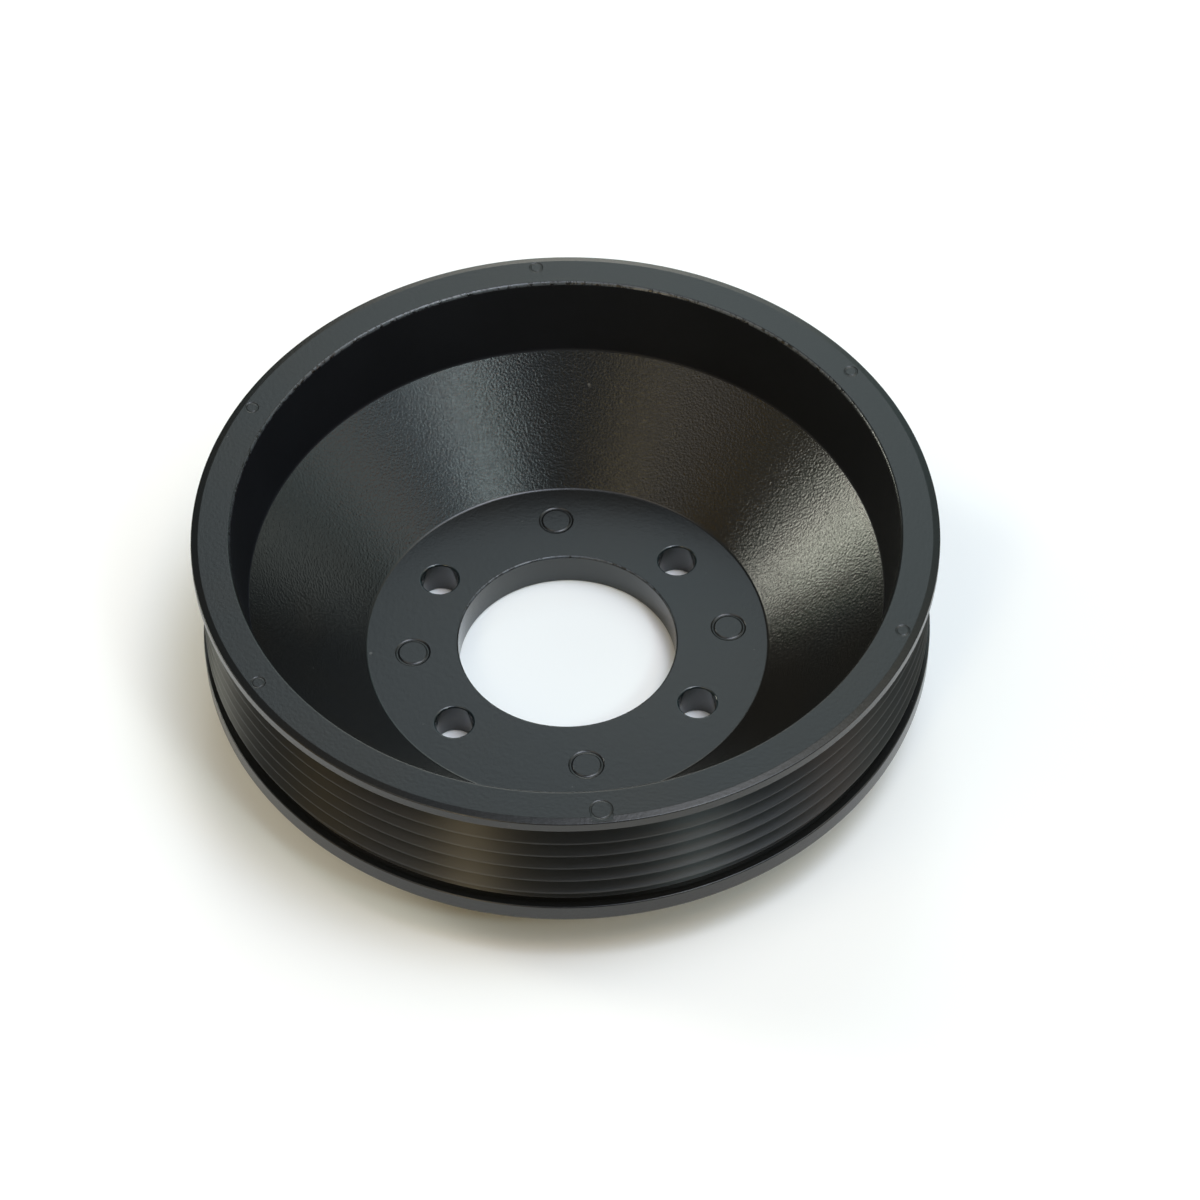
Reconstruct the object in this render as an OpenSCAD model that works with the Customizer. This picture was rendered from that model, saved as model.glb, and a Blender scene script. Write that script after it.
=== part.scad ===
// Water pump pulley: one moulded piece, a dished multi-rib belt pulley.
// Millimetres. +Z is the pulley's axis, out of the open side of the dish.
// The origin is the centre of the bore on the hub's bottom face, which is
// the face that seats on the pump's flange. +X runs along the long side of
// the rectangle of bolt holes.

/* [Overall] */
// Outside diameter over the top flange
outer_d = 135; // [133:0.5:150]
// Height from the hub's bottom face to the rim's top face
height = 40; // [38:0.5:50]

/* [Belt rim] */
// Height of the belt rim
rim_h = 28.6; // [27.6:0.2:33]
// Inside diameter of the rim at its top
rim_in_d = 120.8; // [118.6:0.2:121.2]
// Inside diameter at the foot of the rim's inner wall
dish_d = 116.6; // [110:0.2:117.4]
// Depth of the rim's inner wall, top face down to the web
wall_drop = 16; // [12:0.5:18]
// Width of the bevel along the top face's outer edge
bevel_w = 1.3; // [0.8:0.1:2.0]
// Drop of that bevel
bevel_h = 0.25; // [0.1:0.05:0.5]
// Rounding of the rim's outer edges
edge_r = 0.25; // [0.15:0.05:0.4]
// Rounding of the rim's inner edge
inner_r = 0.6; // [0.2:0.05:0.8]
// Height of the top flange's outer face
top_flange = 2.1; // [1.6:0.1:2.6]
// How far the bottom flange stays inside the top flange's radius
low_drop = 0.5; // [0:0.1:0.6]
// Width of the level ledge on the bottom flange
ledge_w = 1.8; // [0.8:0.1:2.2]

/* [Belt grooves] */
// Number of V grooves
groove_n = 6; // [3:1:6]
// Distance from one groove to the next
groove_pitch = 3.56; // [3.4:0.02:3.6]
// Included angle of a groove
groove_angle = 40; // [38:1:42]
// Rounding of the rib crests
crest_r = 0.25; // [0.2:0.05:0.5]
// Rounding of the groove roots
root_r = 0.4; // [0.25:0.05:0.5]
// How far the rib crests lie inside the outside radius
crest_drop = 1.0; // [0.8:0.1:1.6]
// Centre of the first groove below the rim's top face
groove_first = 5.38; // [5.2:0.02:5.6]

/* [Web] */
// Thickness of the conical web
web_t = 4.5; // [3:0.1:5.5]
// Rounding where the web's top surface runs into the hub
foot_r = 0.9; // [0.4:0.1:1.2]
// Inside radius of the rim below the web
under_r = 60; // [59.4:0.1:60.6]

/* [Hub] */
// Thickness of the hub plate
hub_t = 7; // [6:0.1:7]
// Diameter of the hub plate's flat top
hub_d = 74.8; // [73:0.1:75.2]
// Diameter of the bore
bore_d = 40.6; // [30:0.1:42]

/* [Bolt holes] */
// Diameter of a bolt hole
hole_d = 7; // [5:0.1:9]
// Hole to hole distance along X
hole_x = 44.9; // [42:0.1:48]
// Hole to hole distance along Y
hole_y = 34.4; // [32:0.1:38]
// Rounding of the bores' and holes' edges
lip_r = 0.35; // [0.15:0.05:0.6]

/* [Ejector marks] */
// Radius of the circle of marks on the hub
hub_mark_at = 29.5; // [28.8:0.1:30.5]
// Radius of a ring mark on the hub
hub_mark_r = 2.9; // [2:0.05:3]
// How far the centres of the rim's marks lie inside the outside radius
rim_mark_in = 2.8; // [2.7:0.05:3.4]
// Radius of the five small marks on the rim's top face
rim_mark_r = 1.1; // [0.8:0.05:1.4]
// Radius of the sixth mark, which runs out to the edge
edge_mark_r = 1.85; // [1.2:0.05:2.0]
// How far the hub's pattern of marks stands off the axis along X
mark_shift = 0.7; // [0:0.1:0.8]

/* [Hidden] */
$fn = 180;
small = 48;                                   // segments of a small rounding
R = outer_d / 2;
RL = R - low_drop;                            // radius of the bottom flange
crest = R - crest_drop;                       // radius of the rib crests
half = groove_pitch / 2;
ga = groove_angle / 2;
tip = crest + crest_r * (1 / sin(ga) - 1);    // radius of the sharp rib tip
apex = tip - half / tan(ga);                  // radius of the sharp groove root
g0 = height - groove_first;                   // height of the first groove
gl = g0 - (groove_n - 1) * groove_pitch;      // height of the last groove
low = height - rim_h;                         // height of the rim's bottom
top_z = height - top_flange;                  // lower end of the top flange's face
wall_z = height - wall_drop;                  // height of the wall's foot
hub_r = hub_d / 2;
web_a = atan2(wall_z - hub_t, dish_d / 2 - hub_r);
web_dz = web_t / cos(web_a);                  // web thickness along the axis
under_z = wall_z - web_dz + (under_r - dish_d / 2) * tan(web_a);
foot_low_r = hub_r - (hub_t - web_dz) / tan(web_a);
low_z = gl - (RL - apex) * tan(ga) - 0.05;    // the bottom flange's ledge
ledge_r = RL - ledge_w;                       // the step from ledge to groove
ledge_top = gl - (ledge_r - apex) * tan(ga);  // upper edge of that step
// the top flange's 45 degree underside runs into the first groove here
ux = (g0 - apex * tan(ga) - top_z + R) / (1 - tan(ga)) - 0.3;
uz = top_z - (R - ux);
mark_dirs = [29.5, 89.5, 148, 208.5, 331.5];  // the rim's five small marks
edge_dir = 270;                               // and the sixth

// Rounds one corner p between the edges that run to a and to b: the bit
// between the sharp corner and its true arc. Cut for a convex corner,
// added for a concave one. The arc is a thousandth too large and the bit
// reaches a little past the corner, so that both edges are crossed cleanly.
module corner(p, a, b, r) {
    ua = (a - p) / norm(a - p);
    ub = (b - p) / norm(b - p);
    t = acos(ua * ub) / 2;
    m = (ua + ub) / norm(ua + ub);
    c = p + m * r / sin(t);
    difference() {
        polygon([p - m * 0.05, p + ua * r / tan(t), c, p + ub * r / tan(t)]);
        translate(c) circle(r = r * 1.001, $fn = small * 2);
    }
}

// The half section before its roundings, from the bore out and round
module outline() {
    polygon([
        [bore_d / 2, 0], [foot_low_r, 0], [under_r, under_z], [under_r, low],
        [RL, low], [RL, low_z], [ledge_r, low_z], [ledge_r, gl],
        [crest, gl], [crest, g0], [ux, uz],
        [R, top_z], [R, height - bevel_h],
        [R - bevel_w, height], [rim_in_d / 2, height],
        [dish_d / 2, wall_z], [hub_r, hub_t], [bore_d / 2, hub_t]
    ]);
}

// One groove with its rounded root, open outwards
module groove(z) {
    w = root_r * cos(ga);
    x = apex + w / tan(ga);
    far = R + 2;
    translate([0, z]) {
        polygon([[x, -w], [far, -(far - apex) * tan(ga)],
                 [far, (far - apex) * tan(ga)], [x, w]]);
        translate([apex + root_r / sin(ga), 0])
            circle(r = root_r, $fn = small);
    }
}

// The rib crests are rounded to the belt's form: the sharp tips come off at
// the arc's flank points, and the arcs go on
module crest_cap(z) {
    w = crest_r * cos(ga);
    x = tip - w / tan(ga);
    translate([0, z]) difference() {
        translate([x, -w - 0.4]) square([tip - x + 0.2, 2 * w + 0.8]);
        translate([crest - crest_r, 0]) circle(r = crest_r, $fn = small);
    }
}

module half_section() {
    difference() {
        union() {
            outline();
            // moulding fillets
            corner([under_r, under_z], [foot_low_r, 0], [under_r, low], 1.2);
            corner([dish_d / 2, wall_z], [rim_in_d / 2, height],
                   [hub_r, hub_t], 0.8);
            corner([hub_r, hub_t], [dish_d / 2, wall_z],
                   [bore_d / 2, hub_t], foot_r);
        }
        for (i = [0 : groove_n - 1]) groove(g0 - i * groove_pitch);
        for (i = [1 : groove_n - 1])
            crest_cap(g0 + half - i * groove_pitch);
        // outer edges
        corner([R, height - bevel_h], [R, top_z], [R - bevel_w, height], edge_r);
        corner([R - bevel_w, height], [R, height - bevel_h],
               [rim_in_d / 2, height], 0.8);
        corner([rim_in_d / 2, height], [R - bevel_w, height],
               [dish_d / 2, wall_z], inner_r);
        corner([R, top_z], [R, height - bevel_h], [ux, uz], 0.3);
        corner([ledge_r, ledge_top], [ledge_r, low_z], [apex, gl], 0.2);
        corner([RL, low_z], [RL, low], [ledge_r, low_z], edge_r);
        corner([RL, low], [RL, low_z], [under_r, low], edge_r);
        corner([under_r, low], [under_r, under_z], [RL, low], 0.4);
        // hub edges
        corner([foot_low_r, 0], [under_r, under_z], [bore_d / 2, 0], 0.8);
        corner([bore_d / 2, 0], [bore_d / 2, hub_t], [foot_low_r, 0], lip_r);
        corner([bore_d / 2, hub_t], [bore_d / 2, 0], [hub_r, hub_t], lip_r);
    }
}

// A bolt hole's cutter, with a rounded lip at both faces of the hub plate
module hole() {
    r = hole_d / 2;
    rotate_extrude($fn = 72) {
        translate([0, -1]) square([r, hub_t + 2]);
        corner([r, hub_t], [r, 0], [r + 5, hub_t], lip_r);
        corner([r, 0], [r, hub_t], [r + 5, 0], lip_r);
    }
}

// The shallow ring that an ejector pin's edge leaves on the hub
module hub_mark() {
    translate([0, 0, hub_t + 0.56])
        rotate_extrude($fn = 72)
            translate([hub_mark_r, 0]) circle(r = 0.7, $fn = small * 2);
}

// Moves a mark to its place on the rim's top face
module on_rim(a) {
    rotate([0, 0, a]) translate([R - rim_mark_in, 0, 0]) children();
}

// The fine ring round a mark on the rim
module rim_ring(r) {
    translate([0, 0, height + 0.44]) rotate_extrude($fn = 72)
        translate([r, 0]) circle(r = 0.5, $fn = small * 2);
}

// The sixth mark's outline between two heights: a disc that runs straight out
module tab(r, z0, z1) {
    translate([0, 0, z0]) {
        cylinder(r = r, h = z1 - z0, $fn = 72);
        translate([0, -r, 0]) cube([6, 2 * r, z1 - z0]);
    }
}

module pulley() {
    color([0.06, 0.065, 0.07])
    difference() {
        union() {
            rotate_extrude() half_section();
            // the sixth mark also fills the bevel
            intersection() {
                on_rim(edge_dir) tab(edge_mark_r - 0.05, height - 1, height);
                cylinder(r = R - edge_r, h = height + 1);
            }
        }
        for (x = [-1, 1]) for (y = [-1, 1])
            translate([x * hole_x / 2, y * hole_y / 2, 0]) hole();
        translate([mark_shift, 0, 0]) for (i = [0 : 3]) rotate([0, 0, 90 * i])
            translate([hub_mark_at, 0, 0]) hub_mark();
        for (a = mark_dirs) on_rim(a) {
            translate([0, 0, height - 0.02])
                cylinder(r = rim_mark_r, h = 1, $fn = 72);
            rim_ring(rim_mark_r);
        }
        on_rim(edge_dir) {
            tab(edge_mark_r, height - 0.02, height + 1);
            rim_ring(edge_mark_r);
        }
    }
}

pulley();
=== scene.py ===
import math

import bpy
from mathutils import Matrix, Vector, geometry


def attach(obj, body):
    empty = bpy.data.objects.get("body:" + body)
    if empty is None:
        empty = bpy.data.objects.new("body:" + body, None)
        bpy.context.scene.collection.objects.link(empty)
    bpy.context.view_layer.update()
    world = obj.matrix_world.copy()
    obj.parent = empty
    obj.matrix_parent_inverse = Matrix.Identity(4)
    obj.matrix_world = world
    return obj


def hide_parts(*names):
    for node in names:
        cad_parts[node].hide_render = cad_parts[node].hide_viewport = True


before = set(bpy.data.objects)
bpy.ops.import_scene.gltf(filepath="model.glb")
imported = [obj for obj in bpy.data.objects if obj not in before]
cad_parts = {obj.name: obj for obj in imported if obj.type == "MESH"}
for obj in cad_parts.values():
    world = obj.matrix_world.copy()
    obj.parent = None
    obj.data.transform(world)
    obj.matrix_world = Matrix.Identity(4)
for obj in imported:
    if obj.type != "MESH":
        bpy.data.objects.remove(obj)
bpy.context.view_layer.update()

MM = 0.001
scene = bpy.context.scene
scene.view_settings.view_transform = "Standard"
scene.view_settings.look = "None"
scene.view_settings.exposure = 0.0
scene.view_settings.gamma = 1.0

# ---------------------------------------------------------------- camera
# Fitted to the rim's circles, the web's edge, the hub's edge and the bore.
CAM = Vector((-41.343, -498.031, 617.488)) * MM
RIGHT = Vector((0.99498897, -0.09989957, -0.00412731))
UP = Vector((0.07933942, 0.76374495, 0.64062384))
TURN = math.radians(5.45)      # the photo's right is this far round from +X


def make_camera():
    data = bpy.data.cameras.new("camera")
    data.sensor_width = 36.0
    data.lens = 127.11
    data.clip_start = 0.01
    data.clip_end = 20.0
    cam = bpy.data.objects.new("camera", data)
    scene.collection.objects.link(cam)
    back = RIGHT.cross(UP)
    m = cam.matrix_world.copy()
    for i in range(3):
        m[i][0], m[i][1], m[i][2], m[i][3] = RIGHT[i], UP[i], back[i], CAM[i]
    cam.matrix_world = m
    scene.camera = cam


make_camera()


# ---------------------------------------------------------------- pulley
# The same section and features as the CAD part, in millimetres, meshed
# finely enough for its fillets and grooves to catch the light.
R = 67.5
HEIGHT = 40.0
TOP_Z = HEIGHT - 2.1
LOW = HEIGHT - 28.6
LOW_R = R - 0.5
CREST = R - 1.0
PITCH = 3.56
GROOVES = 6
GA = math.radians(20.0)
CREST_R = 0.25
ROOT_R = 0.4
TIP = CREST + CREST_R * (1 / math.sin(GA) - 1)
APEX = TIP - PITCH / 2 / math.tan(GA)
G0 = HEIGHT - 5.38
GL = G0 - (GROOVES - 1) * PITCH
LOW_Z = GL - (LOW_R - APEX) * math.tan(GA) - 0.05
LEDGE_R = LOW_R - 1.8
LEDGE_TOP = GL - (LEDGE_R - APEX) * math.tan(GA)
UNDER_X = (G0 - APEX * math.tan(GA) - TOP_Z + R) / (1 - math.tan(GA))
DISH_R, WALL_Z = 58.3, 24.0
RIM_IN = 60.4
HUB_T, HUB_R, BORE_R = 7.0, 37.4, 20.3
FOOT = 0.9
WEB_A = math.atan2(WALL_Z - HUB_T, DISH_R - HUB_R)
WEB_DZ = 4.5 / math.cos(WEB_A)
UNDER_R = 60.0
UNDER_Z = WALL_Z - WEB_DZ + (UNDER_R - DISH_R) * math.tan(WEB_A)
FOOT_LOW = HUB_R - (HUB_T - WEB_DZ) / math.tan(WEB_A)
HOLE_R, HOLE_X, HOLE_Y = 3.5, 22.45, 17.2
LIP = 0.35
MARK_AT, MARK_R, MARK_SHIFT = 29.5, 2.9, 0.7
PIN_AT, PIN_R = R - 2.8, 1.1
PINS = (29.5, 89.5, 148.0, 208.5, 331.5)       # the rim's five small marks
TAB_AT, TAB_R, TAB_END = 270.0, 1.85, 67.22    # the sixth runs out to the edge
BEVEL_W, BEVEL_H = 1.3, 0.25
RIB_SOFT = 0.5
N = 384


def unit(x, y):
    d = math.hypot(x, y)
    return x / d, y / d


def section():
    """The closed half section: points (r, z), the normals on either side and
    the corner's number; then the ribs' and the cone's places in it."""
    c = [
        (BORE_R, 0, LIP, 5), (FOOT_LOW, 0, 0.8, 6),
        (UNDER_R, UNDER_Z, 1.2, 6), (UNDER_R, LOW, 0.4, 4),
        (LOW_R, LOW, 0.25, 5), (LOW_R, LOW_Z, 0.25, 5), (LEDGE_R, LOW_Z, 0, 0),
    ]
    ribs = [len(c)]
    c.append((LEDGE_R, LEDGE_TOP, 0.2, 4))
    for i in range(GROOVES - 1, -1, -1):
        z = G0 - i * PITCH
        c.append((APEX, z, ROOT_R, 7))
        if i:
            c.append((TIP, z + PITCH / 2, CREST_R, 8))
    ribs.append(len(c) - 1)
    c += [
        (UNDER_X, TOP_Z - R + UNDER_X, 0, 0), (R, TOP_Z, 0.3, 5),
        (R, HEIGHT - BEVEL_H, 0.25, 5), (R - BEVEL_W, HEIGHT, 0.8, 3),
        (RIM_IN, HEIGHT, 0.6, 8), (DISH_R, WALL_Z, 0.8, 5),
        (HUB_R, HUB_T, FOOT, 8), (BORE_R, HUB_T, LIP, 5),
    ]
    cone = len(c) - 3
    out = []
    for k, (x, y, r, n) in enumerate(c):
        px, py = c[k - 1][:2]
        qx, qy = c[(k + 1) % len(c)][:2]
        ax, ay = unit(px - x, py - y)
        bx, by = unit(qx - x, qy - y)
        na = (-ay, ax)            # normal of the edge that arrives
        nb = (by, -bx)            # normal of the edge that leaves
        if not r:
            out.append((x, y, na, nb, k))
            continue
        half = math.acos(max(-1.0, min(1.0, ax * bx + ay * by))) / 2
        mx, my = unit(ax + bx, ay + by)
        cx, cy = x + mx * r / math.sin(half), y + my * r / math.sin(half)
        a0 = math.atan2(y + ay * r / math.tan(half) - cy,
                        x + ax * r / math.tan(half) - cx)
        a1 = math.atan2(y + by * r / math.tan(half) - cy,
                        x + bx * r / math.tan(half) - cx)
        d = (a1 - a0 + math.pi) % (2 * math.pi) - math.pi
        s = 1.0 if d > 0 else -1.0           # +1 convex, -1 a hollow corner
        for i in range(n + 1):
            a = a0 + d * i / n
            nn = (s * math.cos(a), s * math.sin(a))
            out.append((cx + r * math.cos(a), cy + r * math.sin(a), nn, nn, k))
    return out, ribs, cone


class Build:
    """Collects shared vertices, faces and each face corner's normal."""

    def __init__(self):
        self.index, self.co, self.faces, self.normals = {}, [], [], []
        self.zones = []

    def v(self, p):
        key = (round(p[0], 5), round(p[1], 5), round(p[2], 5))
        if key not in self.index:
            self.index[key] = len(self.co)
            self.co.append((p[0] * MM, p[1] * MM, p[2] * MM))
        return self.index[key]

    def face(self, pts, normals, zone=0):
        ids = [self.v(p) for p in pts]
        keep = [i for i in range(len(ids)) if ids[i] != ids[i - 1]]
        if len(keep) < 3:
            return
        self.faces.append([ids[i] for i in keep])
        self.zones.append(zone)
        self.normals += [normals[i] for i in keep]


def revolve(b, prof, cx=0.0, cy=0.0, n=N, zone=lambda k0, k1: 0):
    """Turns the open profile [(r, z, normal in, normal out, corner), ...] round
    (cx, cy)."""
    ang = [(math.cos(2 * math.pi * i / n), math.sin(2 * math.pi * i / n))
           for i in range(n)]
    for (r0, z0, _, n0, k0), (r1, z1, n1, _, k1) in zip(prof, prof[1:]):
        if zone(k0, k1) == 1:
            n0, n1 = softened(n0), softened(n1)
        for i in range(n):
            (c0, s0), (c1, s1) = ang[i], ang[(i + 1) % n]
            b.face(
                [(cx + r0 * c0, cy + r0 * s0, z0), (cx + r0 * c1, cy + r0 * s1, z0),
                 (cx + r1 * c1, cy + r1 * s1, z1), (cx + r1 * c0, cy + r1 * s0, z1)],
                [(n0[0] * c0, n0[0] * s0, n0[1]), (n0[0] * c1, n0[0] * s1, n0[1]),
                 (n1[0] * c1, n1[0] * s1, n1[1]), (n1[0] * c0, n1[0] * s0, n1[1])],
                zone(k0, k1))


def softened(n):
    """The turned ribs are so fine that their shading is drawn towards the
    drum's; the flanks' shape stays."""
    return unit(n[0] * (1 - RIB_SOFT) + RIB_SOFT, n[1] * (1 - RIB_SOFT))


def circle(cx, cy, r, n):
    return [(cx + r * math.cos(2 * math.pi * i / n),
             cy + r * math.sin(2 * math.pi * i / n)) for i in range(n)]


def patch(b, loops, inside, height, up=1.0):
    """Fills the flat between closed loops, lifts it by height(x, y) and keeps
    the triangles whose middle passes inside(x, y)."""
    pts, edges = [], []
    for loop in loops:
        base = len(pts)
        pts += loop
        edges += [(base + i, base + (i + 1) % len(loop)) for i in range(len(loop))]
    found, _, fs, given, *_ = geometry.delaunay_2d_cdt(
        [Vector(p) for p in pts], edges, [], 0, 1e-6)
    vs = [pts[g[0]] if g else (p.x, p.y) for p, g in zip(found, given)]
    lift = [(x, y, height(x, y)) for x, y in vs]
    e = 1e-4

    def normal(x, y, mx, my):
        # taken just inside the triangle, so that edges of marks stay crisp
        d = math.hypot(mx - x, my - y)
        x, y = x + (mx - x) / d * 0.003, y + (my - y) / d * 0.003
        gx = (height(x + e, y) - height(x - e, y)) / (2 * e)
        gy = (height(x, y + e) - height(x, y - e)) / (2 * e)
        k = up / math.sqrt(gx * gx + gy * gy + 1)
        return -gx * k, -gy * k, k

    for f in fs:
        mx = sum(vs[i][0] for i in f) / len(f)
        my = sum(vs[i][1] for i in f) / len(f)
        if not inside(mx, my):
            continue
        a, c, d = (vs[i] for i in f[:3])
        turn = (c[0] - a[0]) * (d[1] - a[1]) - (c[1] - a[1]) * (d[0] - a[0])
        f = list(f) if turn * up > 0 else list(f)[::-1]
        b.face([lift[i] for i in f], [normal(*vs[i], mx, my) for i in f])


def pulley_mesh():
    b = Build()
    prof, ribs, cone = section()
    holes = [(sx * HOLE_X, sy * HOLE_Y) for sx in (-1, 1) for sy in (-1, 1)]
    marks = [(MARK_SHIFT + MARK_AT * x, MARK_AT * y)
             for x, y in ((1, 0), (0, 1), (-1, 0), (0, -1))]
    pins = [(math.cos(math.radians(a)), math.sin(math.radians(a)), PIN_R)
            for a in PINS]
    pins.append((math.cos(math.radians(TAB_AT)), math.sin(math.radians(TAB_AT)),
                 TAB_R))

    def zone(k0, k1):
        if ribs[0] <= k0 <= k1 <= ribs[1]:
            return 1
        if k1 == cone:
            return 3                               # the rim's inner wall
        if k0 == cone + 2 and k1 == 0:
            return 4                               # the bore's wall
        return 2 if k0 == cone and k1 == cone + 1 else 0

    # the flats with features are patches; the rest is turned
    hub_i = next(i for i, p in enumerate(prof)
                 if abs(p[1] - HUB_T) < 1e-6 and p[0] > 36)
    rim_a = next(i for i, p in enumerate(prof)
                 if abs(p[1] - HEIGHT) < 1e-6 and p[0] > 64)       # bevel's end
    rim_b = rim_a + 1                                              # inner lip's start
    bev = max(i for i, p in enumerate(prof)
              if i < rim_a and p[0] > 66.9)                         # outer corner's end
    foot = max(i for i, p in enumerate(prof[:20])
               if abs(p[1]) < 1e-9 and p[0] < FOOT_LOW)            # underside's outer end
    bore_lo = 5                                                    # bottom lip's end
    revolve(b, prof[foot:bev + 1], zone=zone)
    revolve(b, prof[rim_b:hub_i + 1], zone=zone)
    revolve(b, prof[hub_i + 1:] + prof[:bore_lo + 1], zone=zone)

    def bevel_height(x, y):
        r = math.hypot(x, y)
        seg = prof[bev:rim_a + 1]
        if r >= seg[0][0]:
            return seg[0][1] - (r - seg[0][0]) * BEVEL_H / BEVEL_W
        for p, q in zip(seg, seg[1:]):
            if r >= q[0]:
                t = (r - q[0]) / (p[0] - q[0])
                return q[1] + (p[1] - q[1]) * t
        return HEIGHT

    def rim_height(x, y):
        h = bevel_height(x, y)
        for c, s, r in pins:
            u, v = x * c + y * s - PIN_AT, y * c - x * s
            if u < -3 or abs(v) > 3:
                continue
            if r == TAB_R:
                off = math.hypot(u, v) if u < 0 else abs(v)
                t = min(r + 0.02 - off, TAB_END + 0.02 - PIN_AT - u) / 0.04
            else:
                t = (r + 0.02 - math.hypot(u, v)) / 0.04
            h += (min(h, HEIGHT - 0.02) - h if r != TAB_R else HEIGHT - 0.02 - h) \
                * max(0.0, min(1.0, t))
            d = math.hypot(u, v) - r
            if abs(d) < 0.24:
                h = min(h, HEIGHT + 0.44 - math.sqrt(0.25 - d * d))
        return h

    loops = [circle(0, 0, p[0], N) for p in prof[bev:rim_a + 1]]
    loops.append(circle(0, 0, prof[rim_b][0], N))
    for c, s, r in pins:
        for d in (0.2375, 0.16, 0.08, 0.02, -0.02, -0.08, -0.15, -0.196):
            loops.append(circle(PIN_AT * c, PIN_AT * s, r + d, 48))
    for d in (-0.02, 0.02):
        loops.append([(u * c - v * s, u * s + v * c)
                      for u, v in ((PIN_AT, -TAB_R - d), (TAB_END + d, -TAB_R - d),
                                   (TAB_END + d, TAB_R + d), (PIN_AT, TAB_R + d))])
    r_out, r_in = prof[bev][0], prof[rim_b][0]
    patch(b, loops, lambda x, y: r_in < math.hypot(x, y) < r_out, rim_height)

    def hub_height(x, y):
        for px, py in marks:
            d = abs(math.hypot(x - px, y - py) - MARK_R)
            if d < 0.42:
                return min(HUB_T, HUB_T + 0.56 - math.sqrt(0.49 - d * d))
        return HUB_T

    def on_hub(x, y):
        return (prof[hub_i + 1][0] < math.hypot(x, y) < prof[hub_i][0]
                and all(math.hypot(x - hx, y - hy) > HOLE_R + LIP - 0.0035
                        for hx, hy in holes))

    loops = [circle(0, 0, prof[hub_i][0], N), circle(0, 0, prof[hub_i + 1][0], N)]
    loops += [circle(hx, hy, HOLE_R + LIP, 96) for hx, hy in holes]
    for px, py in marks:
        for d in (0.42, 0.33, 0.22, 0.11, 0.0, -0.11, -0.22, -0.33, -0.42):
            loops.append(circle(px, py, MARK_R + d, 72))
    patch(b, loops, on_hub, hub_height)

    lo_in, lo_out = prof[bore_lo][0], prof[foot][0]
    loops = [circle(0, 0, lo_out, N), circle(0, 0, lo_in, N)]
    loops += [circle(hx, hy, HOLE_R + LIP, 96) for hx, hy in holes]
    patch(b, loops,
          lambda x, y: lo_in < math.hypot(x, y) < lo_out
          and all(math.hypot(x - hx, y - hy) > HOLE_R + LIP - 0.0035
                  for hx, hy in holes),
          lambda x, y: 0.0, up=-1.0)

    hole = []
    for i in range(6):
        a = math.pi / 2 + (math.pi / 2) * i / 5
        nn = (math.cos(a), math.sin(a))
        hole.append((HOLE_R + LIP + LIP * nn[0], HUB_T - LIP + LIP * nn[1], nn, nn, 0))
    for i in range(6):
        a = math.pi + (math.pi / 2) * i / 5
        nn = (math.cos(a), math.sin(a))
        hole.append((HOLE_R + LIP + LIP * nn[0], LIP + LIP * nn[1], nn, nn, 0))
    for hx, hy in holes:
        revolve(b, hole, hx, hy, 96, zone=lambda k0, k1: 4)

    me = bpy.data.meshes.new("pulley_body")
    me.from_pydata(b.co, [], b.faces)
    for p, z in zip(me.polygons, b.zones):
        p.use_smooth = True
        p.material_index = z
    me.normals_split_custom_set(b.normals)
    me.update()
    return me


def pulley_object():
    ob = bpy.data.objects.new("pulley_body", pulley_mesh())
    scene.collection.objects.link(ob)
    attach(ob, "root")
    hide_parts("pulley")
    return ob


# ------------------------------------------------------------- materials
def node(t, kind, **kw):
    n = t.nodes.new(kind)
    for k, v in kw.items():
        setattr(n, k, v)
    return n


def link(t, a, b):
    t.links.new(a, b)


def math_node(t, op, a, b=0.0, clamp=False):
    n = node(t, "ShaderNodeMath", operation=op, use_clamp=clamp)
    for i, v in enumerate((a, b)):
        if isinstance(v, (int, float)):
            n.inputs[i].default_value = v
        else:
            link(t, v, n.inputs[i])
    return n.outputs[0]


def ramp(t, value, lo, hi, clamp=True):
    """Goes from 0 at lo to 1 at hi."""
    n = node(t, "ShaderNodeMapRange", clamp=clamp)
    link(t, value, n.inputs["Value"])
    n.inputs["From Min"].default_value = lo
    n.inputs["From Max"].default_value = hi
    return n.outputs["Result"]


def noise(t, vec, scale, detail=2.0, rough=0.5):
    n = node(t, "ShaderNodeTexNoise")
    n.inputs["Scale"].default_value = scale
    n.inputs["Detail"].default_value = detail
    n.inputs["Roughness"].default_value = rough
    link(t, vec, n.inputs["Vector"])
    return n.outputs["Fac"]


def mix(t, fac, a, b):
    n = node(t, "ShaderNodeMix", data_type="RGBA")
    link(t, fac, n.inputs[0])
    for s, v in ((n.inputs[6], a), (n.inputs[7], b)):
        if isinstance(v, tuple):
            s.default_value = (*v, 1.0)
        else:
            link(t, v, s)
    return n.outputs[2]


def bump(t, p, height, distance, strength=1.0):
    n = node(t, "ShaderNodeBump")
    n.inputs["Strength"].default_value = strength
    n.inputs["Distance"].default_value = distance
    link(t, height, n.inputs["Height"])
    link(t, n.outputs["Normal"], p.inputs["Normal"])
    return n


def start(name):
    m = bpy.data.materials.new(name)
    m.use_nodes = True
    t = m.node_tree
    tc = node(t, "ShaderNodeTexCoord")
    return m, t, t.nodes["Principled BSDF"], tc.outputs["Object"]


BLACK = (0.0062, 0.0068, 0.0071)
WARM = (0.0078, 0.0071, 0.0061)
DUST = (0.07, 0.068, 0.063)
# colour of the painted highlight on the back of the rim's inner edge and the bore's lip
HIGHLIGHT_PAINT = (0.062, 0.07, 0.078)


def tinted(t, obj):
    """Black plastic with faint broad patches of a warmer black."""
    return mix(t, ramp(t, noise(t, obj, 38, 2), 0.45, 0.68), BLACK, WARM)


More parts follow.
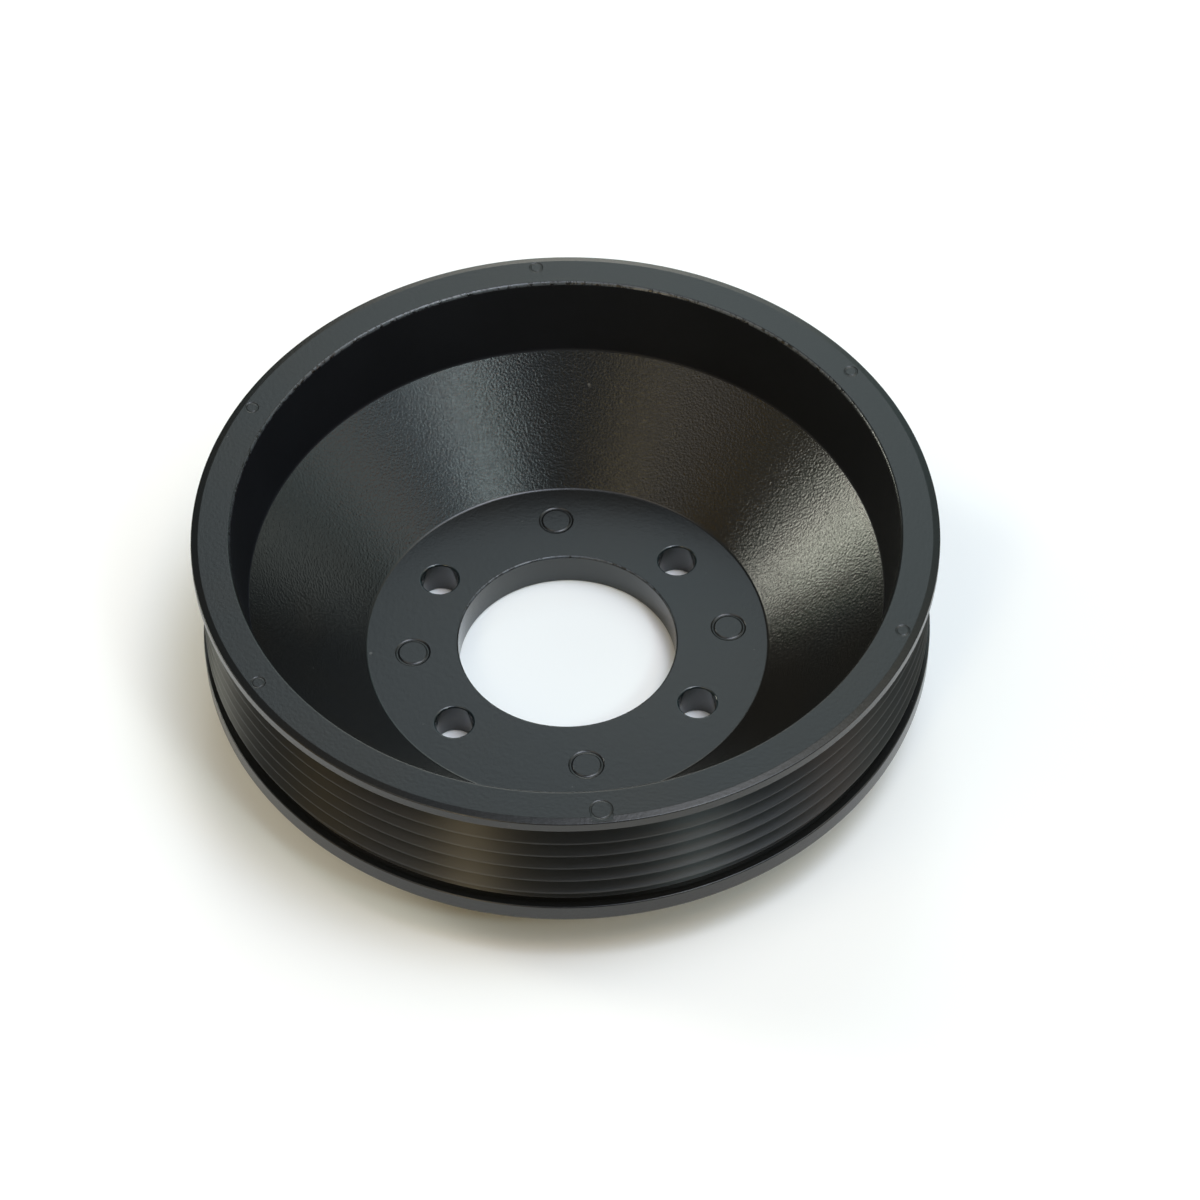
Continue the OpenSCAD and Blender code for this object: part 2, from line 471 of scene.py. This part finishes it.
def radius_of(t, obj):
    xyz = node(t, "ShaderNodeSeparateXYZ")
    link(t, obj, xyz.inputs[0])
    rr = math_node(t, "ADD", math_node(t, "MULTIPLY", xyz.outputs[0], xyz.outputs[0]),
                   math_node(t, "MULTIPLY", xyz.outputs[1], xyz.outputs[1]))
    return math_node(t, "SQRT", rr), xyz.outputs


def band(t, value, middle, half, soft):
    """1 within half of the middle, fading to 0 over soft."""
    off = math_node(t, "ABSOLUTE", math_node(t, "SUBTRACT", value, middle))
    return ramp(t, off, half + soft, half)


def speck(t, xyz, x, y, r):
    """A round spot on the surface, at (x, y) in metres."""
    dx = math_node(t, "SUBTRACT", xyz[0], x)
    dy = math_node(t, "SUBTRACT", xyz[1], y)
    d2 = math_node(t, "ADD", math_node(t, "MULTIPLY", dx, dx),
                   math_node(t, "MULTIPLY", dy, dy))
    return ramp(t, d2, r * r, r * r * 0.4)


def plastic():
    """The moulded skin of the flats, flanges and inner wall."""
    m, t, p, obj = start("black_plastic")
    r, xyz = radius_of(t, obj)
    # painted highlight along the rim's inner edge, mostly at the back
    edge = math_node(t, "MULTIPLY", band(t, r, 0.06048, 0.0002, 0.0002),
                     ramp(t, xyz[2], 0.0392, 0.0396))
    edge = math_node(t, "MULTIPLY", edge, ramp(t, xyz[1], -0.01, 0.045))
    # and a painted highlight round the back of the bore's upper lip
    lip = math_node(t, "MULTIPLY", band(t, r, 0.02048, 0.00012, 0.0001),
                    ramp(t, xyz[2], 0.0066, 0.0068))
    lip = math_node(t, "MULTIPLY", lip, ramp(t, xyz[1], 0.004, 0.012))
    flecks = ramp(t, noise(t, obj, 900, 3, 0.7), 0.4, 0.52)
    painted_highlight = math_node(t, "MULTIPLY", math_node(t, "MAXIMUM", edge, lip), flecks)
    dust = math_node(t, "MAXIMUM", ramp(t, noise(t, obj, 1150, 1), 0.8, 0.84),
                     speck(t, xyz, -0.0366, 0.0006, 0.00035))
    p.inputs["Roughness"].default_value = 0.26
    # the painted highlight, broken into flecks, is mixed over the dust and also dents the
    # bump
    link(t, mix(t, painted_highlight, mix(t, dust, tinted(t, obj), DUST), HIGHLIGHT_PAINT),
         p.inputs["Base Color"])
    height = math_node(t, "ADD", noise(t, obj, 1500, 2),
                       math_node(t, "MULTIPLY", painted_highlight, -2.0))
    bump(t, p, height, 0.0001, 0.2)
    return m


def ribbed():
    """The belt's zone: turned tool marks run round the axis and spread the
    light up and down."""
    m, t, p, obj = start("black_plastic_ribs")
    p.inputs["Roughness"].default_value = 0.5
    p.inputs["Specular IOR Level"].default_value = 0.85
    p.inputs["Anisotropic"].default_value = 1.0
    p.inputs["Anisotropic Rotation"].default_value = 0.25
    tan = node(t, "ShaderNodeTangent", direction_type="RADIAL", axis="Z")
    link(t, tan.outputs[0], p.inputs["Tangent"])
    link(t, tinted(t, obj), p.inputs["Base Color"])
    return m


def cone_skin():
    """The web's cone has a spark-eroded grain."""
    m, t, p, obj = start("black_plastic_grained")
    p.inputs["Roughness"].default_value = 0.24
    _, xyz = radius_of(t, obj)
    dust = math_node(t, "MAXIMUM", ramp(t, noise(t, obj, 1150, 1), 0.8, 0.84),
                     speck(t, xyz, 0.0093, 0.0522, 0.0003))
    link(t, mix(t, dust, tinted(t, obj), DUST), p.inputs["Base Color"])
    bump(t, p, noise(t, obj, 2300, 2), 0.0001, 0.75)
    return m


def plain_skin(name, colour, rough, level):
    """Lit and shaded copies of the black plastic: a less glossy, bluer one for the inner
    wall, painted shade, and a lighter, glossier one for the bores, a painted reflection.
    """
    m, t, p, obj = start(name)
    p.inputs["Roughness"].default_value = rough
    p.inputs["Specular IOR Level"].default_value = level
    link(t, mix(t, ramp(t, noise(t, obj, 60, 2), 0.4, 0.7), colour,
                tuple(c * 1.25 for c in colour)), p.inputs["Base Color"])
    bump(t, p, noise(t, obj, 900, 2), 0.0001, 0.12)
    return m


def floor_material():
    m = bpy.data.materials.new("white_table")
    m.use_nodes = True
    p = m.node_tree.nodes["Principled BSDF"]
    p.inputs["Base Color"].default_value = (0.95, 0.95, 0.94, 1)
    p.inputs["Roughness"].default_value = 0.75
    return m


body = pulley_object()
for made in (plastic(), ribbed(), cone_skin(),
             # the inner wall's copy is painted shade; the bores' and bolt holes' copy is
             # a painted reflection
             plain_skin("black_plastic_wall_painted_shade", (0.0070, 0.0078, 0.0098), 0.5, 0.17),
             plain_skin("black_plastic_bore_painted_reflection", (0.0125, 0.0175, 0.0185), 0.16, 0.62)):
    body.data.materials.append(made)


# ----------------------------------------------------------------- stage
def make_floor():
    me = bpy.data.meshes.new("table")
    s = 4.0
    me.from_pydata([(-s, -s, 0), (s, -s, 0), (s, s, 0), (-s, s, 0)], [], [(0, 1, 2, 3)])
    ob = bpy.data.objects.new("table", me)
    me.materials.append(floor_material())
    scene.collection.objects.link(ob)


make_floor()


def aim(azimuth, elevation):
    """A direction by the photo's own azimuth, 0 to its right and 90 away from it."""
    a = math.radians(azimuth) - TURN
    e = math.radians(elevation)
    return Vector((math.cos(e) * math.cos(a), math.cos(e) * math.sin(a), math.sin(e)))


# soft studio surroundings: an even sky and broad lights
SKY = (0.02, 0.02, 0.02)
LIGHTS = [
    # azimuth, elevation, sharpness, strength, colour
    (-50, 47, 500, 28.8, (0.86, 1.07, 1.07)),
    (158, 23, 150, 21.9, (1.05, 1.04, 0.91)),
    (-116, 18, 300, 17.9, (1.33, 1.04, 0.63)),
    (153, 19, 400, 6.9, (0.99, 1.16, 0.85)),
    (0, 77, 60, 12.6, (0.88, 0.97, 1.15)),
    (-118, 38, 300, 6.4, (1.38, 1.12, 0.51)),
    (90, 28, 100, 5.5, (1.04, 1.02, 0.93)),
    (-39, 65, 300, 4.6, (1.85, 0.97, 0.18)),
    (-150, 63, 30, 2.04, (1.11, 1.01, 0.88)),
    (90, 50, 150, 2.0, (0.9, 1.0, 1.1)),
    (-30, 63, 30, 1.68, (0.69, 1.00, 1.31)),
    (0, 38, 30, 1.64, (0.83, 1.08, 1.09)),
    (30, 22, 100, 1.64, (0.96, 1.06, 0.98)),
    (30, 63, 30, 1.42, (1.14, 1.06, 0.80)),
    (-160, 25, 100, 1.18, (1.88, 1.12, 0.00)),
    (80, 38, 30, 0.95, (0.76, 1.12, 1.12)),
    (-12, 25, 100, 0.91, (2.36, 0.64, 0.00)),
    (66, 70, 400, 4.0, (1.00, 1.00, 1.00)),
]


def make_world():
    w = bpy.data.worlds.new("studio")
    w.use_nodes = True
    scene.world = w
    t = w.node_tree
    bg = t.nodes["Background"]
    tc = node(t, "ShaderNodeTexCoord")
    total = None
    for az, el, sharp, strength, colour in LIGHTS:
        dot = node(t, "ShaderNodeVectorMath", operation="DOT_PRODUCT")
        t.links.new(tc.outputs["Generated"], dot.inputs[0])
        dot.inputs[1].default_value = aim(az, el)
        top = node(t, "ShaderNodeMath", operation="MAXIMUM")
        t.links.new(dot.outputs["Value"], top.inputs[0])
        top.inputs[1].default_value = 0.0
        power = node(t, "ShaderNodeMath", operation="POWER")
        t.links.new(top.outputs[0], power.inputs[0])
        power.inputs[1].default_value = sharp
        col = node(t, "ShaderNodeVectorMath", operation="SCALE")
        col.inputs[0].default_value = [c * strength for c in colour]
        t.links.new(power.outputs[0], col.inputs["Scale"])
        if total is None:
            base = node(t, "ShaderNodeVectorMath", operation="ADD")
            base.inputs[0].default_value = SKY
            t.links.new(col.outputs["Vector"], base.inputs[1])
            total = base
        else:
            add = node(t, "ShaderNodeVectorMath", operation="ADD")
            t.links.new(total.outputs["Vector"], add.inputs[0])
            t.links.new(col.outputs["Vector"], add.inputs[1])
            total = add
    t.links.new(total.outputs["Vector"], bg.inputs["Color"])
    bg.inputs["Strength"].default_value = 1.0


make_world()
